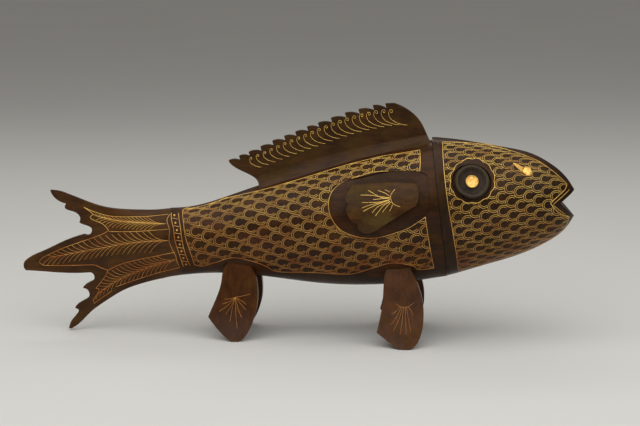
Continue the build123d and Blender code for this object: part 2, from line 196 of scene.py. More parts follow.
def lacquered(name, lacquer, rubbed_to, bloom_to, rub=0.6, bloom_amount=0.35, streak=(60, 240, 240)):
    """The worn lacquer on one kind of carved piece."""
    material, tree, shader = principled(
        name,
        Coat_IOR=1.5,
        Coat_Roughness=0.26,
        IOR=1.5,
        Specular_IOR_Level=0.1,
        Specular_Tint=(1.0, 0.84, 0.66, 1),
        Coat_Tint=(1.0, 0.9, 0.78, 1),
    )
    where = place(tree, "ShaderNodeTexCoord").outputs["Object"]
    wear = place(tree, "ShaderNodeGroup", node_tree=worn)
    tree.links.new(where, wear.inputs["Vector"])
    for label, value in (
        ("Lacquer", (*lacquer, 1)),
        ("Rubbed", (*rubbed_to, 1)),
        ("Bloom", (*bloom_to, 1)),
        ("Rubbed Amount", rub),
        ("Bloom Amount", bloom_amount),
        ("Streak", streak),
    ):
        wear.inputs[label].default_value = value
    tree.links.new(wear.outputs["Colour"], shader.inputs["Base Color"])
    tree.links.new(wear.outputs["Roughness"], shader.inputs["Roughness"])
    coat = math_node(tree, "SUBTRACT", 0.48, wear.outputs["Roughness"], clamp=True)
    tree.links.new(coat, shader.inputs["Coat Weight"])
    relief(tree, shader, wear.outputs["Height"], 0.0004, 0.55)
    return material


def finish(name, material):
    """Gives a carved piece its finish."""
    node[name].data.materials.clear()
    node[name].data.materials.append(material)


trunk_lacquer = lacquered(
    "trunk_lacquer", (0.019, 0.0066, 0.0021), (0.082, 0.027, 0.006), (0.056, 0.035, 0.010), 0.55, 0.28
)
finish("trunk_shell", trunk_lacquer)

# ---------------------------------------------------------------------------
# Gilding: fine raised gold lines drawn over the lacquer on both flanks. Each drawing is made
# flat, X along the fish and Y for height, then pressed sideways on to the carving and given
# a thin round section. The gold has worn redder in patches, and low on the flanks it is
# painted darker and redder as painted shade.

gilt, gilt_tree, gilt_shader = principled("gilt_line", Metallic=0.45, IOR=1.5)
gilt_where = place(gilt_tree, "ShaderNodeTexCoord").outputs["Object"]
gilt_cloud = noise(gilt_tree, gilt_where, 70.0, 5.0, 0.65)
gilt_speck = noise(gilt_tree, gilt_where, 1500.0, 2.0)
gilt_height = split_xyz(gilt_tree, gilt_where)[2]
# Painted shade: towards the bottom of the flanks the gold is blended darker and redder, by height alone.
gilt_painted_shade_low = ramp(gilt_tree, gilt_height, 0.118, 0.046)
# Patchy wear from the noise clouds added to the painted shade low on the flanks; together they darken,
# redden and roughen the gold.
gilt_wear_and_painted_shade = math_node(
    gilt_tree,
    "ADD",
    math_node(gilt_tree, "MULTIPLY", ramp(gilt_tree, gilt_cloud, 0.40, 0.66), 0.45),
    math_node(gilt_tree, "MULTIPLY", gilt_painted_shade_low, 0.75),
    clamp=True,
)
gilt_tone = blend_colours(gilt_tree, gilt_wear_and_painted_shade, (1.0, 0.65, 0.155, 1), (0.48, 0.15, 0.02, 1))
gilt_tree.links.new(
    blend_colours(
        gilt_tree, ramp(gilt_tree, gilt_speck, 0.62, 0.75), gilt_tone, (0.12, 0.055, 0.02, 1)
    ),
    gilt_shader.inputs["Base Color"],
)
gilt_tree.links.new(
    math_node(gilt_tree, "ADD", 0.30, math_node(gilt_tree, "MULTIPLY", gilt_wear_and_painted_shade, 0.22)),
    gilt_shader.inputs["Roughness"],
)
relief(gilt_tree, gilt_shader, gilt_speck, 0.00012, 0.6)


def geometry_tree(name, inputs):
    """A geometry tree with named inputs; gives the tree, its input and output nodes."""
    tree = bpy.data.node_groups.new(name, "GeometryNodeTree")
    tree.interface.new_socket("Geometry", in_out="OUTPUT", socket_type="NodeSocketGeometry")
    for label, kind in inputs:
        tree.interface.new_socket(label, in_out="INPUT", socket_type=f"NodeSocket{kind}")
    return tree, place(tree, "NodeGroupInput").outputs, place(tree, "NodeGroupOutput")


def cast(tree, target, start, direction):
    """A ray from start on to the target."""
    return place(
        tree,
        "GeometryNodeRaycast",
        {"Target Geometry": target, "Source Position": start, "Ray Direction": direction,
         "Ray Length": 2.0},
    ).outputs


# What every drawing needs to be laid: the carving, the area it keeps to, the flank, the line.
LAYING = [
    ("Carving", "Object"),
    ("Area", "Object"),
    ("Keep To Area", "Bool"),
    ("Flank", "Float"),
    ("Line Radius", "Float"),
    ("Line Lift", "Float"),
    ("Gilt", "Material"),
]
laid, laid_in, laid_out = geometry_tree("lay_drawing", [("Drawing", "Geometry"), *LAYING])
STEP, OUTSIDE = 0.0007, 0.3  # a line's steps, and a place well outside each flank
short_steps = place(
    laid,
    "GeometryNodeResampleCurve",
    {0: place(laid, "GeometryNodeMeshToCurve", {0: laid_in["Drawing"]}).outputs[0]},
    mode="LENGTH",
)
short_steps.inputs["Length"].default_value = STEP
stepped = place(laid, "GeometryNodeCurveToMesh", {0: short_steps.outputs[0]}).outputs[0]
here = place(laid, "GeometryNodeInputPosition").outputs[0]
area_curve = place(
    laid,
    "GeometryNodeMeshToCurve",
    {0: place(laid, "GeometryNodeObjectInfo", {"Object": laid_in["Area"]}).outputs["Geometry"]},
).outputs[0]
area_face = place(laid, "GeometryNodeFillCurve", {0: area_curve}).outputs[0]
above = place(laid, "ShaderNodeVectorMath", {0: here, 1: (0, 0, 1)}, operation="ADD").outputs[0]
in_area = cast(laid, area_face, above, (0, 0, -1))["Is Hit"]
out_of_area = place(
    laid,
    "FunctionNodeBooleanMath",
    {0: laid_in["Keep To Area"], 1: in_area},
    operation="NIMPLY",
).outputs[0]
kept = place(
    laid, "GeometryNodeDeleteGeometry", {0: stepped, 1: out_of_area}, domain="POINT"
).outputs[0]
flat = split_xyz(laid, here)
beside = join_xyz(laid, flat[0], math_node(laid, "MULTIPLY", laid_in["Flank"], OUTSIDE), flat[1])
inward = join_xyz(laid, 0.0, math_node(laid, "MULTIPLY", laid_in["Flank"], -1.0), 0.0)
carving = place(laid, "GeometryNodeObjectInfo", {"Object": laid_in["Carving"]}).outputs["Geometry"]
landed = cast(laid, carving, beside, inward)
missed = place(laid, "FunctionNodeBooleanMath", {0: landed["Is Hit"]}, operation="NOT").outputs[0]
raised = place(
    laid,
    "ShaderNodeVectorMath",
    {0: landed["Hit Normal"], "Scale": laid_in["Line Lift"]},
    operation="SCALE",
).outputs[0]
final_place = place(
    laid, "ShaderNodeVectorMath", {0: landed["Hit Position"], 1: raised}, operation="ADD"
).outputs[0]
# The hit is stored before anything moves, so that what missed can still be taken away.
marked = place(
    laid,
    "GeometryNodeStoreNamedAttribute",
    {0: kept, "Name": "missed", "Value": missed},
    data_type="BOOLEAN",
    domain="POINT",
).outputs[0]
pressed = place(laid, "GeometryNodeSetPosition", {0: marked, "Position": final_place}).outputs[0]
was_missed = place(
    laid, "GeometryNodeInputNamedAttribute", {"Name": "missed"}, data_type="BOOLEAN"
).outputs[0]
on_carving = place(
    laid, "GeometryNodeDeleteGeometry", {0: pressed, 1: was_missed}, domain="POINT"
).outputs[0]
section = place(laid, "GeometryNodeCurvePrimitiveCircle", {"Resolution": 6})
laid.links.new(laid_in["Line Radius"], section.inputs["Radius"])
drawn = place(
    laid,
    "GeometryNodeCurveToMesh",
    {
        "Curve": place(laid, "GeometryNodeMeshToCurve", {0: on_carving}).outputs[0],
        "Profile Curve": section.outputs[0],
        "Fill Caps": True,
    },
).outputs[0]
whole = place(laid, "GeometryNodeRealizeInstances", {0: drawn}).outputs[0]
laid.links.new(
    place(laid, "GeometryNodeSetMaterial", {0: whole, "Material": laid_in["Gilt"]}).outputs[0],
    laid_out.inputs[0],
)


def lay(tree, inputs, out, drawing):
    """Ends a tree by laying its flat drawing on the carving."""
    group = place(tree, "GeometryNodeGroup", node_tree=laid)
    tree.links.new(drawing, group.inputs["Drawing"])
    for label, kind in LAYING:
        tree.links.new(inputs[label], group.inputs[label])
    whole = place(tree, "GeometryNodeRealizeInstances", {0: group.outputs[0]}).outputs[0]
    tree.links.new(
        place(tree, "GeometryNodeSetMaterial", {0: whole, "Material": inputs["Gilt"]}).outputs[0],
        out.inputs[0],
    )


# A plain drawing: its own lines are laid.
plain_drawing, plain_in, plain_out = geometry_tree("plain_drawing", [("Drawing", "Geometry"), *LAYING])
lay(plain_drawing, plain_in, plain_out, plain_in["Drawing"])

# Scales: double arcs in leaning columns, every other column half a scale lower, so that each
# arc tucks between two. Height is measured round the girth of the carving.
scaled, scaled_in, scaled_out = geometry_tree(
    "scale_field",
    [
        ("Drawing", "Geometry"),
        *LAYING,
        ("Columns", "Int"),
        ("Rows", "Int"),
        ("First Column X", "Float"),
        ("Column Pitch", "Float"),
        ("Row Pitch", "Float"),
        ("Row Start", "Float"),
        ("Lean", "Float"),
        ("Rise", "Float"),
        ("Outer Radius", "Float"),
        ("Inner Radius", "Float"),
        ("Upper Gap", "Float"),
        ("Lower Gap", "Float"),
        ("Least X", "Float"),
        ("Most X", "Float"),
    ],
)
lattice = place(
    scaled,
    "GeometryNodeMeshGrid",
    {"Vertices X": scaled_in["Columns"], "Vertices Y": scaled_in["Rows"]},
).outputs[0]
number = place(scaled, "GeometryNodeInputIndex").outputs[0]
column = math_node(scaled, "FLOOR", math_node(scaled, "DIVIDE", number, scaled_in["Rows"]))
row = math_node(scaled, "MODULO", number, scaled_in["Rows"])
half_step = math_node(scaled, "MULTIPLY", math_node(scaled, "MODULO", column, 2.0), 0.5)
middle_row = math_node(scaled, "MULTIPLY", scaled_in["Rows"], 0.5)
column_foot = math_node(
    scaled,
    "ADD",
    scaled_in["First Column X"],
    math_node(scaled, "MULTIPLY", column, scaled_in["Column Pitch"]),
)
level_row = math_node(
    scaled,
    "MULTIPLY",
    math_node(scaled, "ADD", math_node(scaled, "SUBTRACT", row, middle_row), half_step),
    scaled_in["Row Pitch"],
)
rise = math_node(
    scaled,
    "ADD",
    scaled_in["Row Start"],
    math_node(scaled, "MULTIPLY", column_foot, scaled_in["Rise"]),
)
girth = math_node(scaled, "ADD", level_row, rise)
along = math_node(
    scaled, "SUBTRACT", column_foot, math_node(scaled, "MULTIPLY", girth, scaled_in["Lean"])
)
centres = place(
    scaled, "GeometryNodeSetPosition", {0: lattice, "Position": join_xyz(scaled, along, girth, 0.0)}
).outputs[0]
arcs = place(scaled, "GeometryNodeJoinGeometry")
arc_sweep = math_node(
    scaled,
    "SUBTRACT",
    math.tau,
    math_node(scaled, "ADD", scaled_in["Upper Gap"], scaled_in["Lower Gap"]),
)
for radius_name in ("Outer Radius", "Inner Radius"):
    arc = place(
        scaled,
        "GeometryNodeCurveArc",
        {
            "Resolution": 24,
            "Radius": scaled_in[radius_name],
            "Start Angle": scaled_in["Upper Gap"],
            "Sweep Angle": arc_sweep,
        },
    )
    scaled.links.new(arc.outputs["Curve"], arcs.inputs[0])
every_scale = place(
    scaled,
    "GeometryNodeRealizeInstances",
    {0: place(
        scaled, "GeometryNodeInstanceOnPoints", {0: centres, "Instance": arcs.outputs[0]}
    ).outputs[0]},
).outputs[0]
scale_edges = place(scaled, "GeometryNodeCurveToMesh", {0: every_scale}).outputs[0]
at = split_xyz(scaled, place(scaled, "GeometryNodeInputPosition").outputs[0])
body = place(scaled, "GeometryNodeObjectInfo", {"Object": scaled_in["Carving"]}).outputs["Geometry"]
# Past the leaning seam there is no back above or no belly below, so the girth is read from the
# last place that has both.
whole_x = math_node(
    scaled,
    "MAXIMUM",
    math_node(scaled, "MINIMUM", at[0], scaled_in["Most X"]),
    scaled_in["Least X"],
)
beside_groove, far_off = 0.004, 0.4  # the comb's groove along the middle is missed
over, under = (join_xyz(scaled, whole_x, beside_groove, z) for z in (far_off, -far_off))
crown = split_xyz(scaled, cast(scaled, body, over, (0, 0, -1))["Hit Position"])[2]
keel = split_xyz(scaled, cast(scaled, body, under, (0, 0, 1))["Hit Position"])[2]
full_depth = math_node(scaled, "SUBTRACT", crown, keel)
least_depth = 0.005
half_depth = math_node(scaled, "MAXIMUM", math_node(scaled, "MULTIPLY", full_depth, 0.5), least_depth)
mid_depth = math_node(scaled, "MULTIPLY", math_node(scaled, "ADD", crown, keel), 0.5)
most_turn = 1.5  # just short of a quarter turn, where the back or the belly is reached
turn = math_node(
    scaled,
    "MINIMUM",
    math_node(scaled, "MAXIMUM", math_node(scaled, "DIVIDE", at[1], half_depth), -most_turn),
    most_turn,
)
level = math_node(
    scaled,
    "ADD",
    mid_depth,
    math_node(scaled, "MULTIPLY", half_depth, math_node(scaled, "SINE", turn)),
)
wrapped = place(
    scaled, "GeometryNodeSetPosition", {0: scale_edges, "Position": join_xyz(scaled, at[0], level, 0.0)}
).outputs[0]
lay(scaled, scaled_in, scaled_out, wrapped)

# One motif set out along a path at even steps, growing or shrinking on the way.
strung, strung_in, strung_out = geometry_tree(
    "motif_along_path",
    [
        ("Drawing", "Geometry"),
        *LAYING,
        ("Motif", "Object"),
        ("Count", "Int"),
        ("First Size", "Float"),
        ("Last Size", "Float"),
    ],
)
path_curve = place(strung, "GeometryNodeMeshToCurve", {0: strung_in["Drawing"]}).outputs[0]
stations = place(strung, "GeometryNodeResampleCurve", {0: path_curve}, mode="COUNT")
strung.links.new(strung_in["Count"], stations.inputs["Count"])
how_far = place(strung, "GeometryNodeSplineParameter").outputs["Factor"]
size_here = math_node(
    strung,
    "ADD",
    strung_in["First Size"],
    math_node(
        strung,
        "MULTIPLY",
        how_far,
        math_node(strung, "SUBTRACT", strung_in["Last Size"], strung_in["First Size"]),
    ),
)
motif = place(strung, "GeometryNodeObjectInfo", {"Object": strung_in["Motif"]}).outputs["Geometry"]
copies = place(
    strung,
    "GeometryNodeInstanceOnPoints",
    {0: stations.outputs[0], "Instance": motif, "Scale": join_xyz(strung, size_here, size_here, 1.0)},
).outputs[0]
lay(
    strung,
    strung_in,
    strung_out,
    place(strung, "GeometryNodeRealizeInstances", {0: copies}).outputs[0],
)


def flowing(points):
    """A smooth line through points in millimetres, as closer points."""
    last = len(points) - 1
    line = []
    for i in range(last):
        a, b, c, d = (Vector(points[min(max(i + k, 0), last)]) for k in (-1, 0, 1, 2))
        steps = max(2, int((c - b).length / 0.8))
        for k in range(steps):
            t = k / steps
            line.append(
                0.5
                * (
                    2 * b
                    + (c - a) * t
                    + (2 * a - 5 * b + 4 * c - d) * t**2
                    + (3 * b - a - 3 * c + d) * t**3
                )
            )
    line.append(Vector(points[last]))
    return line


MM = 0.001
sheets = []  # the flat drawings, thrown away once they are laid


def paper(name, lines, closed=False):
    """A flat drawing from lines of (along, height) points in millimetres."""
    vertices, edges = [], []
    for line in lines:
        first = len(vertices)
        vertices += [(p[0] * MM, p[1] * MM, 0) for p in line]
        edges += [(first + i, first + i + 1) for i in range(len(line) - 1)]
        if closed:
            edges.append((len(vertices) - 1, first))
    mesh = bpy.data.meshes.new(name)
    mesh.from_pydata(vertices, edges, [])
    made = bpy.data.objects.new(name, mesh)
    bpy.context.scene.collection.objects.link(made)
    sheets.append(made)
    return made


def gild(name, tree, drawing, surface, body_name, area=None, radius=0.30, **extra):
    """Lays a drawing on a carving, on both flanks, and joins the result into one piece."""
    results = []
    surfaces = surface if isinstance(surface, tuple) else (surface, surface)
    for flank in (-1, 1):
        sheet = bpy.data.objects.new(name, drawing.data)
        bpy.context.scene.collection.objects.link(sheet)
        modifier = sheet.modifiers.new("gilding", "NODES")
        modifier.node_group = tree
        socket = {
            item.name: item.identifier
            for item in tree.interface.items_tree
            if item.in_out == "INPUT"
        }
        values = {
            "Carving": node[surfaces[0] if flank < 0 else surfaces[1]],
            "Area": area or drawing,
            "Keep To Area": area is not None,
            "Flank": float(flank),
            "Line Radius": radius * MM,
            "Line Lift": -0.3 * radius * MM,
            "Gilt": gilt,
            **extra,
        }
        for label, value in values.items():
            modifier[socket[label]] = value
        bpy.context.view_layer.update()
        mesh = bpy.data.meshes.new_from_object(
            sheet.evaluated_get(bpy.context.evaluated_depsgraph_get())
        )
        results.append(mesh)
        bpy.data.objects.remove(sheet)
    vertices, faces = [], []
    for mesh in results:
        first = len(vertices)
        vertices += [tuple(v.co) for v in mesh.vertices]
        faces += [tuple(first + i for i in polygon.vertices) for polygon in mesh.polygons]
        bpy.data.meshes.remove(mesh)
    joined = bpy.data.meshes.new(name)
    joined.from_pydata(vertices, [], faces)
    joined.materials.append(gilt)
    joined.polygons.foreach_set("use_smooth", [True] * len(joined.polygons))
    joined.update()
    made = bpy.data.objects.new(name, joined)
    bpy.context.scene.collection.objects.link(made)
    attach(made, body_name)


# The scaled part of each flank ends at a gold line: below the comb, at the collar, above the
# belly with an arch over each foot, and round the plain hollow behind the side fin.
upper_edge = [(-86, 93.2), (-84.5, 95), (-72.5, 98.4), (-54, 103.4), (-38.5, 107.4), (-23.5, 111.4),
              (-5.5, 116.8), (12.5, 122.4), (36, 129.8), (59.5, 136), (77, 139.4), (91, 142)]
collar_edge = [(91, 142), (91.4, 135), (91.2, 128.5), (95.6, 96), (98.6, 76), (102.2, 56)]
lower_edge = [(102.2, 56), (96, 55), (90, 55), (87, 58), (71.5, 60.5), (57, 56), (40, 50.5), (14, 51),
              (-13.5, 50.5), (-21.5, 54.5), (-30, 58), (-46, 61), (-59, 57), (-70, 53), (-76.5, 54)]
band_edge = [(-76.5, 54), (-78, 59.5), (-80, 66.5), (-82, 72.5), (-83.5, 79), (-84.5, 85), (-86, 93.2)]
hollow_edge = [(91.2, 128.5), (77.5, 128), (60, 127), (47, 123.5), (35, 119), (28, 113.5), (25, 106.5),
               (25.5, 98), (30, 89.5), (37, 83.5), (49, 80), (60.5, 80), (72, 83.2), (84, 88), (95.6, 96)]
upper_line, lower_line, band_line, hollow_line = (
    flowing(edge) for edge in (upper_edge, lower_edge, band_edge, hollow_edge)
)
collar_top, collar_foot = flowing(collar_edge[:3]), flowing(collar_edge[3:])
field_area = paper(
    "field_area",
    [upper_line[:-1] + collar_top[:-1] + hollow_line[:-1]
     + collar_foot[:-1] + lower_line[:-1] + band_line[:-1]],
    closed=True,
)
gild("gilt_field_edges", plain_drawing,
     paper("field_edges", [upper_line, collar_top, collar_foot, lower_line, band_line, hollow_line]),
     "trunk_shell", "trunk", radius=0.24)
scale_seed = paper("scale_seed", [[(0, 0), (1, 0)]])
gild("gilt_trunk_scales", scaled, scale_seed, "trunk_shell", "trunk", area=field_area, radius=0.175,
     Columns=25, Rows=16,
     **{"First Column X": -98.5 * MM, "Column Pitch": 8.4 * MM, "Row Pitch": 10.4 * MM,
        "Row Start": -0.8 * MM, "Lean": 0.18, "Rise": 0.08, "Outer Radius": 4.75 * MM,
        "Inner Radius": 3.45 * MM, "Upper Gap": math.radians(42), "Lower Gap": math.radians(38),
        "Least X": -86 * MM, "Most X": 98 * MM})

# The dotted band over the tail joint: two fine lines round the trunk, and between them a row
# of gold dots parted by short bars, like a ladder.
band_lines = [
    [(-94.5, 92), (-94, 87.5), (-92.2, 81.5), (-91.5, 76), (-90.3, 70), (-88.5, 64.5),
     (-86.5, 57.5), (-85, 52)],
    [(-89, 92), (-87.6, 85.5), (-86.6, 80.5), (-85.8, 75), (-84.5, 68), (-82.5, 60.5), (-80, 53)],
]
gild("gilt_band_lines", plain_drawing, paper("band_lines", [flowing(line) for line in band_lines]),
     "trunk_shell", "trunk", radius=0.26)
dot_path = paper("dot_path", [flowing([(-92, 90.5), (-91, 86), (-89.6, 80.5), (-88.6, 76), (-87.4, 70.5),
                                       (-86, 64.6), (-84.6, 59), (-83, 54)])])
bar_path = paper("bar_path", [flowing([(-91.5, 88.2), (-90.3, 83), (-89, 78), (-88, 73), (-86.7, 67.4),
                                       (-85.2, 61.6), (-83.8, 56.4)])])
eighths = [a * math.pi / 4 for a in range(8)]
dot = paper("dot", [[(0.5 * math.cos(turned), 0.5 * math.sin(turned)) for turned in eighths]], closed=True)
bar = paper("bar", [[(-2.5, 0.4), (2.4, -0.2)]])
gild("gilt_band_dots", strung, dot_path, "trunk_shell", "trunk", radius=0.5,
     Motif=dot, Count=8, **{"First Size": 1.0, "Last Size": 1.0})
gild("gilt_band_bars", strung, bar_path, "trunk_shell", "trunk", radius=0.22,
     Motif=bar, Count=7, **{"First Size": 1.0, "Last Size": 1.0})

# ---------------------------------------------------------------------------
# Head: a hollow cap of the same lacquered wood, pushed on to the neck ring. It is scaled like
# the trunk but finer, with a gold edge and hatching at the lips and a scalloped line at each eye.
head_lacquer = lacquered(
    "head_lacquer", (0.015, 0.0058, 0.0021), (0.062, 0.024, 0.006), (0.046, 0.031, 0.010), 0.5, 0.28,
    (240, 240, 55)
)
finish("head_shell", head_lacquer)
head_collar = flowing([(107.5, 147.6), (108, 137.5), (109.5, 122.5), (112, 105), (115.5, 85.5),
                       (118.5, 67), (120.2, 52.6)])
head_upper = flowing([(107.5, 147.6), (119, 147.2), (131.5, 146), (144, 144.2), (156, 141.6), (168, 138),
                      (178, 133.8), (187.5, 127.5), (195, 121), (199, 117)])
lip_upper = flowing([(199, 117), (197.6, 113.6), (192.5, 109.6), (186.5, 104.5)])
lip_lower = flowing([(186.5, 104.5), (191, 98.8), (197, 94.4), (201, 93)])
head_lower = flowing([(201, 93), (199, 86), (192.5, 78.4), (181.5, 71.5), (169, 66.8), (151, 61),
                      (132.5, 55.4), (120.2, 52.6)])
eye_x, eye_z = 129.3, 121.8
scallop = []
for turn_step in range(144):
    angle = math.radians(turn_step * 2.5)
    reach = 15.6 + 0.9 * abs(math.sin(6 * angle))
    scallop.append(Vector((eye_x + reach * math.cos(angle), eye_z + 0.95 * reach * math.sin(angle))))
head_outline = head_upper[:-1] + lip_upper[:-1] + lip_lower[:-1] + head_lower[:-1] + head_collar[:0:-1]
head_area = paper("head_area", [head_outline, scallop], closed=True)
gild("gilt_head_edges", plain_drawing,
     paper("head_edges",
           [head_collar, head_upper, lip_upper, lip_lower, head_lower, scallop + scallop[:1]]),
     "head_shell", "head", radius=0.24)
gild("gilt_head_scales", scaled, scale_seed, "head_shell", "head", area=head_area, radius=0.155,
     Columns=17, Rows=18,
     **{"First Column X": 99 * MM, "Column Pitch": 6.6 * MM, "Row Pitch": 10.2 * MM,
        "Row Start": -0.2 * MM, "Lean": 0.10, "Rise": 0.20, "Outer Radius": 4.3 * MM,
        "Inner Radius": 3.05 * MM, "Upper Gap": math.radians(42), "Lower Gap": math.radians(50),
        "Least X": 113.5 * MM, "Most X": 203 * MM})
upper_hatch = [
    [(188.6 + 2.1 * k, 103.6 + 1.55 * k), (191.4 + 1.9 * k, 105.8 + 1.5 * k)] for k in range(6)
]
lower_hatch = [
    [(188 + 2.0 * k, 103 - 1.75 * k), (190.6 + 1.9 * k, 101.6 - 1.55 * k)] for k in range(7)
]
gild("gilt_lip_hatching", plain_drawing, paper("lip_hatching", upper_hatch + lower_hatch),
     "head_shell", "head", radius=0.17)

# Nostrils: a flat-domed gilt stud with a broad gold stroke that runs up and back from it.
stroke = [
    flowing([(159, 133.6), (162.5 - 0.4 * spread, 131.6 - spread),
             (166 - 0.4 * spread, 129.4 - 1.5 * spread)])
    for spread in (-0.5, 0.0, 0.5, 1.0)
]
gild("gilt_nostril_stroke", plain_drawing, paper("nostril_stroke", stroke),
     "head_shell", "head", radius=0.42)

# ---------------------------------------------------------------------------
# Eyes: a turned boss of near-black hardwood with a dished face, pinned in its socket by a gilt
# stud. The lathe has left fine rings, and the rim round the dish is painted lighter brown, partly
# as rubbed wear and partly as a painted highlight on its crest.


def turned_wood(name, centre, axis):
    """Near-black turned wood with lathe rings round an axis."""
    material, tree, shader = principled(name, IOR=1.5, Specular_IOR_Level=0.16)
    where = place(tree, "ShaderNodeTexCoord").outputs["Object"]
    from_centre = place(
        tree, "ShaderNodeVectorMath", {0: where, 1: centre}, operation="SUBTRACT"
    ).outputs[0]
    across_axis = place(
        tree, "ShaderNodeVectorMath", {0: from_centre, 1: axis}, operation="CROSS_PRODUCT"
    ).outputs[0]
    reach = place(tree, "ShaderNodeVectorMath", {0: across_axis}, operation="LENGTH").outputs["Value"]
    ring_turns = 9500.0  # radians to the metre, a ring about every 0.7 mm
    rings = math_node(tree, "SINE", math_node(tree, "MULTIPLY", reach, ring_turns))
    cloud = noise(tree, where, 160.0, 5.0, 0.6)
    wear = place(tree, "ShaderNodeGroup", {"Vector": where}, node_tree=worn)
    for label, value in (
        ("Lacquer", (0.010, 0.0065, 0.004, 1)),
        ("Rubbed", (0.052, 0.032, 0.016, 1)),
        ("Bloom", (0.045, 0.038, 0.022, 1)),
        ("Rubbed Amount", 0.6),
        ("Bloom Amount", 0.5),
        ("Streak", (300, 300, 300)),
    ):
        wear.inputs[label].default_value = value
    # Rubbed wear and painted highlight: a lighter brown band round the crest of the dish rim.
    dish_rim, rim_width = 0.0112, 0.0016
    from_rim = math_node(tree, "ABSOLUTE", math_node(tree, "SUBTRACT", reach, dish_rim))
    rim_wear_and_highlight = math_node(tree, "MULTIPLY", ramp(tree, from_rim, rim_width, 0.0), 0.35)
    tree.links.new(
        blend_colours(tree, rim_wear_and_highlight, wear.outputs["Colour"], (0.10, 0.075, 0.045, 1)),
        shader.inputs["Base Color"],
    )
    tree.links.new(
        math_node(tree, "ADD", 0.22, math_node(tree, "MULTIPLY", cloud, 0.25)),
        shader.inputs["Roughness"],
    )
    relief(tree, shader, rings, 0.00006, 0.5)
    return material


stud_gilt, stud_tree, stud_shader = principled("gilt_stud", Metallic=0.9, IOR=1.5)
stud_where = place(stud_tree, "ShaderNodeTexCoord").outputs["Object"]
stud_cloud = noise(stud_tree, stud_where, 420.0, 6.0, 0.65)
stud_tree.links.new(
    blend_colours(
        stud_tree, ramp(stud_tree, stud_cloud, 0.38, 0.64), (0.92, 0.60, 0.17, 1), (0.66, 0.32, 0.07, 1)
    ),
    stud_shader.inputs["Base Color"],
)
stud_tree.links.new(
    math_node(stud_tree, "ADD", 0.20, math_node(stud_tree, "MULTIPLY", stud_cloud, 0.35)),
    stud_shader.inputs["Roughness"],
)
relief(stud_tree, stud_shader, stud_cloud, 0.0002, 0.5)
for side, across in (("right", -1), ("left", 1)):
    eye_axis = Vector((0.10, 0.915 * across, 0.39)).normalized()
    finish(f"eye_boss_{side}",
           turned_wood(f"turned_eye_wood_{side}", (0.129, 0.0329 * across, 0.1216), tuple(eye_axis)))
    finish(f"eye_stud_{side}", stud_gilt)
    finish(f"nostril_stud_{side}", stud_gilt)

# ---------------------------------------------------------------------------
# Tail: a thin carved board, three-lobed and jagged, doweled to the trunk under the dotted band.
# Each lobe carries a gold feather: barbs set out both sides of a quill.
tail_lacquer = lacquered(
    "tail_lacquer", (0.034, 0.0130, 0.0038), (0.105, 0.041, 0.010), (0.095, 0.056, 0.018), 0.6, 0.3
)
finish("tail_fin", tail_lacquer)
upper_top = flowing([(-97, 91), (-110, 89.3), (-122.5, 88.5), (-140, 88.5), (-153, 91.5), (-161.5, 95)])
upper_step = flowing([(-161.5, 95), (-157.5, 92.5), (-154.2, 89.6)]) + flowing(
    [(-154.2, 89.6), (-156.8, 87.4), (-154, 85.4), (-147, 82.5), (-142.5, 78)])[1:]
quill_upper = flowing([(-142.5, 77), (-130, 77.2), (-118, 78), (-95.8, 80.5)])
middle_top = flowing([(-142.5, 78), (-147, 75), (-158, 70.8), (-175.5, 64.5), (-188, 59), (-194.5, 55.4),
                      (-196.5, 52.4)])
middle_under = flowing([(-196.5, 52.4), (-193, 50.2), (-185, 50), (-167, 50.5), (-154.5, 51),
                        (-149.5, 49.2), (-143.5, 47.2)])
quill_lower = flowing([(-143.5, 47.2), (-135, 51.6), (-122.5, 55.6), (-106.5, 59.5), (-91, 63.5)])
lower_step = flowing([(-143.5, 47.2), (-146, 42.5), (-150.5, 36.2), (-153.4, 33)]) + flowing(
    [(-153.4, 33), (-151, 32), (-153.4, 27), (-155.4, 24), (-155, 21)])[1:]
lower_tip = flowing([(-155, 21), (-150, 24.8), (-141, 31.2)])
lower_under = flowing([(-137.5, 34.6), (-123, 40), (-105, 46.3), (-88, 51.2)])
tail_wave = flowing([(-95.4, 91.2), (-96.6, 89.4), (-97.5, 86.5), (-95.8, 82), (-95.1, 79), (-95.5, 74),
                     (-95, 70), (-92.4, 64), (-90.6, 60.5), (-90, 56.5), (-88.6, 52.6)])
gild("gilt_tail_edges", plain_drawing,
     paper("tail_edges",
           [upper_top, upper_step, quill_upper, middle_top, middle_under, quill_lower, lower_step,
            lower_tip, lower_under, tail_wave]),
     "tail_fin", "trunk", radius=0.22)
upper_area = paper("upper_area", [upper_top[:-1] + upper_step[:-1] + quill_upper], closed=True)
middle_area = paper(
    "middle_area",
    [quill_upper[::-1][:-1] + middle_top[:-1] + middle_under[:-1] + quill_lower],
    closed=True,
)
lower_area = paper(
    "lower_area", [quill_lower[::-1][:-1] + lower_step[:-1] + lower_tip + lower_under], closed=True
)
# Each feather: the quill, then for its upper and its lower side one barb and how many there are.
feathers = {
    "upper": (
        upper_area,
        [(-98, 84.3), (-118, 84.4), (-133, 85.2), (-144, 87.4)],
        ("up", [(0, 0), (-5, 0.2), (-10, 1.4), (-15, 4.4)], 15),
        ("down", [(0, 0), (-5, -0.6), (-10, -2.4), (-14, -5.6)], 15),
    ),
    "middle": (
        middle_area,
        [(-96, 72), (-112.5, 70.5), (-131, 67.7), (-147, 64.2), (-166, 60.4), (-183, 57)],
        ("up", [(0, 0), (-5.5, 0.3), (-11, 2.4), (-16, 6.6)], 19),
        ("down", [(0, 0), (-5, -0.9), (-10.5, -4.6), (-15, -10.4)], 21),
    ),
    "lower": (
        lower_area,
        [(-91, 57.5), (-107, 52.5), (-122, 46.5), (-137, 39), (-149, 30.4)],
        ("up", [(0, 0), (-5.5, -0.6), (-11, 0.4), (-16, 3.4)], 18),
        ("down", [(0, 0), (-4, -2.2), (-7.5, -5.8), (-9.5, -10.5)], 18),
    ),
}
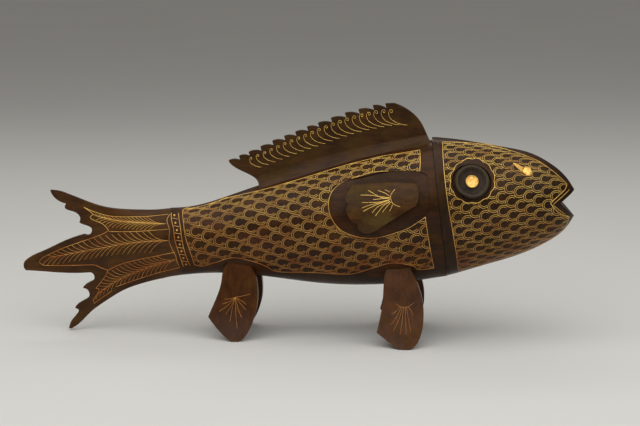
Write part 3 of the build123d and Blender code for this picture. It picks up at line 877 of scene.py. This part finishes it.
for lobe, (lobe_area, quill, *both_sides) in feathers.items():
    quill_path = paper(f"{lobe}_quill", [flowing(quill)])
    for way, barb_line, count in both_sides:
        barb = paper(f"{lobe}_barb_{way}", [flowing(barb_line)])
        gild(f"gilt_{lobe}_feather_{way}", strung, quill_path, "tail_fin", "trunk", area=lobe_area,
             radius=0.155, Motif=barb, Count=count, **{"First Size": 1.0, "Last Size": 0.8})

# ---------------------------------------------------------------------------
# Dorsal comb: the toothed board that is scraped, glued by its tongue into the back. Its root
# swells into the trunk. A row of gold curls follows the teeth and grows towards the front.
comb_lacquer = lacquered(
    "comb_lacquer", (0.027, 0.0100, 0.0026), (0.085, 0.034, 0.007), (0.066, 0.043, 0.012), 0.55, 0.45
)
finish("dorsal_comb", comb_lacquer)
curl_line = []
for step in range(16):
    angle = math.radians(180 - 420 + 28 * step)
    reach = 0.25 + 1.15 * step / 15
    curl_line.append((reach * math.cos(angle), reach * math.sin(angle)))
curl_line += [(-1.45, -1.6), (-0.2, -4.2), (2.6, -6.2), (6.0, -7.4), (9.6, -7.9)]
curl = paper("curl", [flowing(curl_line)])
curl_path = paper("curl_path", [flowing([
    (-34.5, 133), (-22, 138.4), (-9, 144.3), (5.5, 150.2), (20.5, 156.5), (37.5, 162.8),
    (50.5, 166.3), (61.5, 168.6), (69.5, 168.8),
])])
gild("gilt_comb_curls", strung, curl_path, "dorsal_comb", "trunk", radius=0.16,
     Motif=curl, Count=21, **{"First Size": 0.8, "Last Size": 1.25})

# ---------------------------------------------------------------------------
# Side fins: a leaf of lacquered wood pegged over a plain hollow in each flank, its free end
# standing off. A gold spray of fine rays opens towards the tail.
fin_lacquer = lacquered(
    "fin_lacquer", (0.040, 0.0170, 0.005), (0.115, 0.050, 0.012), (0.115, 0.082, 0.022), 0.6, 0.42,
    (90, 300, 300)
)
for side in ("right", "left"):
    finish(f"side_fin_{side}", fin_lacquer)
fin_spray = [
    [(73.5, 116), (71, 113), (70.3, 110), (71.4, 106.6), (73.2, 105), (77.5, 103.5)],
    [(70, 110), (64.5, 109.8), (58.5, 112.5), (54, 115)],
    [(69.6, 110), (63, 110.6), (56.5, 111.5), (48.5, 111.6)],
    [(70, 109), (65.5, 109.3), (57.5, 108.5)],
    [(69.6, 108.6), (63, 107), (56.5, 106.5), (49.5, 106.5)],
    [(69.5, 108.2), (61.5, 106), (55, 104.6), (49.5, 102.5)],
    [(68, 107.8), (61.5, 105.4), (56, 103), (50.5, 100)],
    [(69.6, 107.4), (64, 105), (60.5, 103), (57, 99)],
    [(70, 107.2), (65.5, 104.5), (62.5, 101), (59.5, 97)],
    [(70.6, 107), (68, 104), (66, 101.5), (64.5, 99.5)],
    [(71.6, 105), (71, 102.5), (69.5, 100.5)],
    [(70, 110.6), (66.5, 113), (61, 115)],
    [(69.8, 114), (66, 115.5)],
]
gild("gilt_fin_sprays", plain_drawing, paper("fin_spray", [flowing(ray) for ray in fin_spray]),
     ("side_fin_right", "side_fin_left"), "trunk", radius=0.21)

# ---------------------------------------------------------------------------
# Feet: four bent leaves of lacquered wood, doweled to the belly, redder and more rubbed than
# the body. Each outer face has a spray of gold rays.
foot_lacquer = lacquered(
    "foot_lacquer", (0.038, 0.0120, 0.003), (0.115, 0.038, 0.008), (0.080, 0.046, 0.011), 0.6, 0.3,
    (240, 240, 70)
)
for end in ("front", "rear"):
    for side in ("right", "left"):
        finish(f"{end}_foot_{side}", foot_lacquer)
rear_spray = [
    [(-45, 31.5), (-50, 26), (-57, 21)],
    [(-45, 31.5), (-49.6, 28.4), (-54.5, 26.5)],
    [(-45, 31.5), (-49, 30.4), (-53, 30)],
    [(-45, 31.5), (-48, 25), (-52, 19)],
    [(-45, 31.5), (-47, 24), (-48.6, 14)],
    [(-45, 31.5), (-40, 32.4), (-34, 34)],
    [(-45, 31.5), (-41, 29.4), (-36.5, 26.4)],
    [(-45, 31.5), (-41.4, 27.4), (-37, 22.6)],
    [(-45, 31.5), (-43, 24), (-40, 17)],
    [(-45, 31.5), (-44.4, 20), (-43, 9)],
]
front_spray = [
    [(75, 31), (77, 29.4), (79.5, 28.8), (83.5, 29), (88, 32)],
    [(77.5, 29.2), (75, 26), (71.5, 23.5)],
    [(78.5, 29), (75.4, 22), (70.8, 16)],
    [(79.4, 28.8), (77, 20), (73, 12.6)],
    [(80.2, 28.8), (79.4, 19), (78, 9.8)],
    [(81.4, 28.8), (82, 19), (82.4, 9.6)],
    [(82.4, 29), (84, 20), (86, 12)],
    [(83.4, 29), (85.6, 26.6), (87.2, 23)],
]
gild("gilt_rear_foot_sprays", plain_drawing, paper("rear_spray", [flowing(ray) for ray in rear_spray]),
     ("rear_foot_right", "rear_foot_left"), "trunk", radius=0.13)
gild("gilt_front_foot_sprays", plain_drawing, paper("front_spray", [flowing(ray) for ray in front_spray]),
     ("front_foot_right", "front_foot_left"), "trunk", radius=0.13)

# ---------------------------------------------------------------------------
# Neck ring, dowels and pegs: bare turned hardwood inside, streaked pale and dark along the grain.
bare_wood, bare_tree, bare_shader = principled("bare_wood", IOR=1.5)
bare_where = place(bare_tree, "ShaderNodeTexCoord").outputs["Object"]
along_grain = place(
    bare_tree, "ShaderNodeVectorMath", {0: bare_where, 1: (30, 420, 420)}, operation="MULTIPLY"
).outputs[0]
bare_grain = noise(bare_tree, along_grain, 1.0, 6.0)
bare_tree.links.new(
    blend_colours(
        bare_tree, ramp(bare_tree, bare_grain, 0.35, 0.65), (0.20, 0.105, 0.045, 1), (0.42, 0.26, 0.12, 1)
    ),
    bare_shader.inputs["Base Color"],
)
bare_tree.links.new(
    math_node(bare_tree, "ADD", 0.42, math_node(bare_tree, "MULTIPLY", bare_grain, 0.3)),
    bare_shader.inputs["Roughness"],
)
relief(bare_tree, bare_shader, bare_grain, 0.0002, 0.6)
for hidden in ("neck_ring", "tail_dowels", "foot_dowels", "side_fin_pegs"):
    finish(hidden, bare_wood)

# ---------------------------------------------------------------------------
# Camera, lights and floor: a long lens a little above the fish, one broad soft light over it, a
# thin one behind that edges the back, and a pale floor that runs far back and falls into grey.
camera_data = bpy.data.cameras.new("camera")
camera_data.lens = 100
camera_data.sensor_width = 36
camera = bpy.data.objects.new("camera", camera_data)
bpy.context.scene.collection.objects.link(camera)
target = Vector((0.0167, 0, 0.0921))
azimuth, elevation, distance = math.radians(3.7), math.radians(9.2), 1.33
level_reach = distance * math.cos(elevation)
camera.location = target + Vector(
    (level_reach * math.sin(azimuth), -level_reach * math.cos(azimuth), distance * math.sin(elevation))
)
camera.rotation_euler = (target - camera.location).to_track_quat("-Z", "Y").to_euler()
camera_data.clip_end = 60
bpy.context.scene.camera = camera

floor_mesh = bpy.data.meshes.new("floor")
floor_mesh.from_pydata([(-15, -15, 0), (15, -15, 0), (15, 25, 0), (-15, 25, 0)], [], [(0, 1, 2, 3)])
floor = bpy.data.objects.new("floor", floor_mesh)
bpy.context.scene.collection.objects.link(floor)
floor_material, floor_tree, floor_shader = principled("floor", Roughness=0.75)
floor_where = place(floor_tree, "ShaderNodeTexCoord").outputs["Object"]
floor_tree.links.new(
    blend_colours(
        floor_tree, noise(floor_tree, floor_where, 3.0), (0.62, 0.62, 0.60, 1), (0.66, 0.66, 0.64, 1)
    ),
    floor_shader.inputs["Base Color"],
)
floor_mesh.materials.append(floor_material)


def soft_light(name, place_at, aim, size, power, tint=(1, 1, 1)):
    data = bpy.data.lights.new(name, "AREA")
    data.shape = "RECTANGLE"
    data.size, data.size_y = size
    data.energy = power
    data.color = tint
    made = bpy.data.objects.new(name, data)
    made.location = place_at
    made.rotation_euler = (Vector(aim) - Vector(place_at)).to_track_quat("-Z", "Y").to_euler()
    bpy.context.scene.collection.objects.link(made)


soft_light("overhead", (0.05, -0.60, 0.98), (0, -0.12, 0), (3.0, 1.9), 24, (1.0, 0.99, 0.97))
soft_light("behind", (-0.2, 0.85, 1.0), (0, 0, 0.1), (1.3, 0.16), 1.6, (1.0, 0.98, 0.95))
world = bpy.data.worlds.new("room")
world.use_nodes = True
sky = world.node_tree
height = split_xyz(sky, place(sky, "ShaderNodeTexCoord").outputs["Generated"])[2]
upward = math_node(sky, "MAXIMUM", height, 0.0)
horizon_glow, overhead_glow = 0.05, 0.46
rising = math_node(sky, "MULTIPLY", math_node(sky, "POWER", upward, 2.0), overhead_glow)
glow = math_node(sky, "ADD", horizon_glow, rising)
sky.nodes["Background"].inputs[0].default_value = (1.0, 0.96, 0.91, 1)
sky.links.new(glow, sky.nodes["Background"].inputs[1])
bpy.context.scene.world = world
bpy.context.scene.view_settings.view_transform = "Standard"

for sheet in sheets:
    bpy.data.objects.remove(sheet)
bpy.context.view_layer.update()
